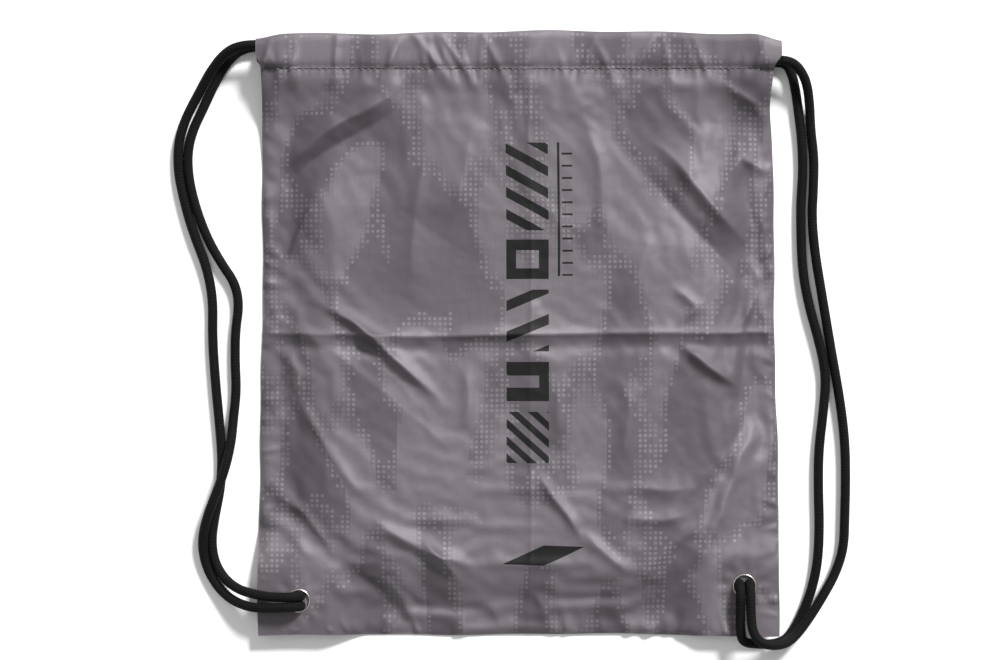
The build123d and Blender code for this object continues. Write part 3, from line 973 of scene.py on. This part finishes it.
backMesh = finerMesh(backSheet(), 1)
pierce(frontMesh)
pierce(backMesh)
for side, left in halves:
    for name, node, mesh, cloth, under in (
            ("frontPanel", "front_panel", frontMesh, printedCloth, ["back_panel"]),
            ("backPanel", "back_panel", backMesh, plainCloth, [])):
        panel = halfPiece(f"{name}{side}", mesh, left, cloth, clothShape["thickness"])
        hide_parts(node)
        gatherBlend(panel, left)
print("panels laid")


# the hems: a tunnel of cloth round the cords, drawn up along its stitches
hemShape = {"columns": 264, "rounds": 40, "cut": 54 * mm, "thickness": 0.35 * mm}
hemLine = [  # the tunnel's section: millimetres from its stitches, and height as a share of the tunnel's
    (0.0, 0.2), (1.2, 0.42), (2.6, 0.66), (4.0, 0.84), (5.4, 0.95), (7.4, 1.0), (10.5, 1.02), (13.6, 1.02),
    (17.0, 1.02), (20.2, 0.98), (22.8, 0.76), (24.5, 0.34), (25.0, 0.0), (24.6, -0.3), (23.0, -0.62),
    (20.2, -0.86), (16.0, -0.94), (11.0, -0.93), (6.4, -0.94), (3.2, -0.86), (1.4, -0.50), (0.0, 0.2),
]


def backStitchZ(x):
    return 4.6 * mm + 2.2 * mm * ease((np.abs(x) - 0.145) / 0.03)


def hemMesh(name, node, front, side):
    low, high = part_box(node)
    middleZ, halfZ = (low[2] + high[2]) / 2, (high[2] - low[2]) / 2
    section = np.array(hemLine)
    steps = np.hypot(np.diff(section[:, 0]), np.diff(section[:, 1] * halfZ / mm))
    lengths = np.concatenate([[0], np.cumsum(steps)])
    build, s, t = gridMesh(hemShape["columns"], hemShape["rounds"])
    y = stitchY + np.interp(t * lengths[-1], lengths, section[:, 0]) * mm
    share = np.interp(t * lengths[-1], lengths, section[:, 1])
    left, right = (sideX(sign, np.array([stitchY]))[0] for sign in (-1, 1))
    x = hemX(left + s * (right - left), y)
    if front:  # the tunnel lies flatter between its two ends, where it is open for the cords
        share = share * (0.70 + 0.36 * ease((np.abs(x) - 0.150) / 0.014))
    near = np.exp(-((y - stitchY) / (1.5 * mm)) ** 1.5)
    sewn = stitchZ(x) if front else backStitchZ(x)
    z = (middleZ + share * halfZ) * (1 - near) + (sewn + share * 0.8 * mm) * near
    pleat = puckerHeight(x, y)
    swell = roughness(x, y, 0.015, 9.3 if front else 4.4) * 0.45 * mm
    if front:
        swell += 1.0 * mm * facets(x, y + 0.1, 0.026, 3, 1.1) + 0.4 * mm * facets(x, y, 0.012, 9, 1.3)
        top = ease(share / 0.5)
        swell = np.maximum(swell, -0.5 * mm) * (1 - 0.8 * ease((np.abs(x) - 0.148) / 0.012))
        z += np.maximum(top, near) * 0.85 * pleat + top * swell
        z -= ease(-share / 0.5) * (1 - near) * 0.2 * pleat
    else:
        z += ease(share / 0.5) * (0.4 * pleat + 0.5 * swell)
    ends = ease((np.abs(x) - 0.148) / 0.028)
    rise = ease((y - stitchY) / (26 * mm))
    waves = 1.0 * np.sin(x / 0.045 + 1) + 0.5 * np.sin(x / 0.012)
    y = y + mm * rise * (waves - ends ** 2 * np.where(x > 0, 5.2, 3.6))
    z = np.maximum(z, floorZ + 0.5 * mm)
    return clothMesh(name, build, x, y, z, side, stitchY + t * hemShape["cut"])


def sealTube(mesh):  # joins the tunnel's first and last rows along the stitches
    build = bmeshFrom(mesh)
    bmesh.ops.remove_doubles(build, verts=build.verts, dist=0.02 * mm)
    bmesh.ops.recalc_face_normals(build, faces=build.faces)
    for edge in build.edges:
        edge.smooth = not edge.is_manifold or edge.calc_face_angle() < 0.9
    build.to_mesh(mesh)
    build.free()
    return mesh


frontHemMesh = sealTube(hemMesh("frontHem", "front_hem", True, 1))
backHemMesh = sealTube(hemMesh("backHem", "back_hem", False, -1))
for side, left in halves:
    for name, node, mesh, cloth in (("frontHem", "front_hem", frontHemMesh, printedCloth),
                                    ("backHem", "back_hem", backHemMesh, plainCloth)):
        hem = halfPiece(f"{name}{side}", mesh, left, cloth, hemShape["thickness"])
        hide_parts(node)
        gatherBlend(hem, left)
        under = ["back_hem"] if node == "front_hem" else []
print("hems sewn")


# the stitches that close the hems
stitchLook = {"pitch": 4 * mm, "length": 2.7 * mm, "thread": 0.34 * mm}


def stitchRow(name, node, front, left):
    build = bmesh.new()
    low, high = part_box(node)
    count = round((high[0] - low[0]) / stitchLook["pitch"])
    for i in range(count + 1):
        x = low[0] + stitchLook["length"] / 2 + i * stitchLook["pitch"]
        if (x < creaseX) != left or x > high[0]:
            continue
        xs = np.array([x - 1.2 * mm, x, x + 1.2 * mm])
        ys = np.full(3, stitchY - 0.1 * mm)
        if front:
            zs = stitchZ(xs) + 0.85 * puckerHeight(xs, ys) + 0.2 * mm
            turn = 1
        else:
            zs = np.full(3, floorZ + 0.6 * mm)
            turn = 0
        made = bmesh.ops.create_uvsphere(build, u_segments=8, v_segments=5, radius=1)["verts"]
        lean = math.atan2(zs[2] - zs[0], xs[2] - xs[0]) * turn
        shape = Matrix.Translation((x, ys[1], zs[1])) @ Matrix.Rotation(-lean, 4, "Y") @ Matrix.Diagonal(
            (stitchLook["length"] / 2, stitchLook["thread"], stitchLook["thread"], 1))
        bmesh.ops.transform(build, matrix=shape, verts=made)
    return addPiece(name, build, sewingThread)


for side, left in halves:
    for name, node, front in (("frontHemStitches", "front_hem_stitching", True),
                              ("backHemStitches", "back_hem_stitching", False)):
        row = stitchRow(f"{name}{side}", node, front, left)
        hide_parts(node)
        gatherBlend(row, left)
print("stitches sewn")


# the turned-in seams and corner patches, between the two cloths
seamShape = {"width": 7 * mm, "patch": 33 * mm, "inset": 9.5 * mm, "lift": 0.7 * mm, "thickness": 0.2 * mm}


def stripMesh(columns, rows, place):
    build, s, t = gridMesh(columns, rows)
    x, y = place(s, t)
    return clothMesh("strip", build, x, y, backHeight(x, y) + seamShape["lift"], -1)


def sideStrip(sign):
    def place(s, t):
        y = footY + 1.5 * mm + t * (stitchY - footY - 3 * mm)
        return sideX(sign, y) - sign * (0.8 * mm + seamShape["width"] * s), y
    return place


def footStrip(s, t):
    x = -halfWidth + seamShape["inset"] + s * 2 * (halfWidth - seamShape["inset"])
    return x, bottomY(x) + 0.8 * mm + seamShape["width"] * t


def patchPlace(sign):
    def place(s, t):
        x = sign * (halfWidth - seamShape["inset"] - seamShape["patch"] * s)
        return x, footY + 9 * mm + seamShape["patch"] * t
    return place


for name, node, size, place in (
        ("leftSideSeam", "left_side_seam", (4, 120), sideStrip(-1)),
        ("rightSideSeam", "right_side_seam", (4, 120), sideStrip(1)),
        ("bottomSeam", "bottom_seam", (110, 4), footStrip),
        ("leftCornerPatch", "left_corner_patch", (16, 16), patchPlace(-1)),
        ("rightCornerPatch", "right_corner_patch", (16, 16), patchPlace(1))):
    build = bmeshFrom(stripMesh(*size, place))
    bmesh.ops.recalc_face_normals(build, faces=build.faces)
    strip = addPiece(name, build, plainCloth)
    addWall(strip, seamShape["thickness"], 0)
    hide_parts(node)
    if "SideSeam" in name:
        gatherBlend(strip, name.startswith("left"))
    else:
        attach(strip, "bag")
print("seams turned in")


# the eyelets: a rolled ring set over the cloth, and the washer behind it
eyeletShape = {  # the front ring's section: distance from the middle, and height above the cloth
    "section": [(6.72, -2.2), (6.72, 0.2), (6.84, 0.62), (7.1, 0.88), (7.45, 0.94), (7.8, 0.76),
                (8.02, 0.42), (8.1, 0.06), (8.0, -0.1), (7.4, -0.1), (7.15, -0.3), (7.15, -2.2)],
    "turns": 72,
}
for side, place in eyeletPlace.items():
    build = bmesh.new()
    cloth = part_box(f"{side}_eyelet")[1][2] - 0.5 * mm
    verts = [build.verts.new((r * mm, 0, h * mm)) for r, h in eyeletShape["section"]]
    edges = [build.edges.new(pair) for pair in zip(verts, verts[1:] + verts[:1])]
    bmesh.ops.spin(build, geom=verts + edges, cent=(0, 0, 0), axis=(0, 0, 1), angle=2 * math.pi,
                   steps=eyeletShape["turns"], use_merge=True)
    bmesh.ops.remove_doubles(build, verts=build.verts, dist=0.001 * mm)
    bmesh.ops.recalc_face_normals(build, faces=build.faces)
    bmesh.ops.translate(build, vec=(place.x, place.y, cloth), verts=build.verts)
    ring = addPiece(f"{side}EyeletRing", build, nickel)
    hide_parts(f"{side}_eyelet")
    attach(ring, "bag")
    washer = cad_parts[f"{side}_eyelet_washer"]
    washer.data.materials.clear()
    washer.data.materials.append(nickel)
print("eyelets set")


# the knots under the corners, pressed flat by the bag, with the cord's two cut ends
knotShape = {"reach": 5.6 * mm, "middle": 4.7 * mm, "sway": 1.7 * mm, "flatten": 0.69, "tail": 20 * mm}


def knotRoute(place):
    reach = knotShape["reach"]
    loops = []
    for i in range(22):
        turn = 2 * math.pi * i / 21 * 0.93
        r = reach * (0.50 + 0.34 * math.cos(3 * turn))
        loops.append((place.x + r * math.cos(2 * turn), place.y + r * math.sin(2 * turn),
                      knotShape["middle"] + knotShape["sway"] * math.sin(3 * turn)))
    return loops


for side, place in eyeletPlace.items():
    inwards = 1 if side == "left" else -1
    low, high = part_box(f"{side}_cord_knot")
    middleZ = (low[2] + high[2]) / 2
    build = tubeMesh(smoothLine("knot", knotRoute(place), 6), cordLook["radius"], 14)
    bmesh.ops.translate(build, vec=(0, 0, -knotShape["middle"]), verts=build.verts)
    bmesh.ops.scale(build, vec=(1, 1, knotShape["flatten"]), verts=build.verts)
    bmesh.ops.translate(build, vec=(0, 0, middleZ), verts=build.verts)
    knot = addPiece(f"{side}Knot", build, blackCord)
    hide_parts(f"{side}_cord_knot")
    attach(knot, "bag")
    for end, offset in (("A", -3.4 * mm), ("B", 3.5 * mm)):
        start = Vector((place.x + inwards * 3 * mm, place.y + offset * 0.7, 3.7 * mm))
        tail = [start + Vector((inwards * far, offset * share, drop)) for far, share, drop in (
            (0, 0, 0), (6 * mm, 0.2, 0), (13 * mm, 0.35, 0), (knotShape["tail"], 0.3, -0.1 * mm))]
        piece, _ = cordPiece(f"{side}KnotEnd{end}", tail)
        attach(piece, "bag")
print("knots tied")


# the floor, the lights and the camera
light = {"sun": 6.2, "sunAngle": 0.24, "bounce": 7.0, "bounceSize": 1.6, "room": 0.40}
shot = {"middle": (-0.0124, 0.0030), "width": 0.669, "lens": 85.0, "sensor": 36.0}
build = bmesh.new()
bmesh.ops.create_grid(build, x_segments=1, y_segments=1, size=3.0)
bmesh.ops.translate(build, vec=(0, 0, floorZ), verts=build.verts)
floorCard = addPiece("floorCard", build, floorFinish("paleCard"), smooth=False)


def softLamp(name, kind, power, size, place):
    lamp = bpy.data.lights.new(name, kind)
    lamp.energy = power
    if kind == "SUN":
        lamp.angle = size
    else:
        lamp.shape = "DISK"
        lamp.size = size
    holder = addObject(name, lamp)
    holder.location = place
    holder.rotation_euler = (-Vector(place)).to_track_quat("-Z", "Y").to_euler()


softLamp("windowLight", "SUN", light["sun"], light["sunAngle"], (0.75, 1.22, 1.02))
softLamp("ceilingBounce", "AREA", light["bounce"], light["bounceSize"], (-0.5, 0.2, 1.9))
world = bpy.data.worlds.new("room")
world.use_nodes = True
background = world.node_tree.nodes["Background"].inputs
background["Color"].default_value = (1, 1, 1, 1)
background["Strength"].default_value = light["room"]
scene.world = world

lens = bpy.data.cameras.new("overhead")
lens.lens = shot["lens"]
lens.sensor_width = shot["sensor"]
camera = addObject("overhead", lens)
camera.location = (*shot["middle"], shot["width"] * shot["lens"] / shot["sensor"] + 0.01)
scene.camera = camera
scene.view_settings.view_transform = "Standard"
print("lights and camera set")
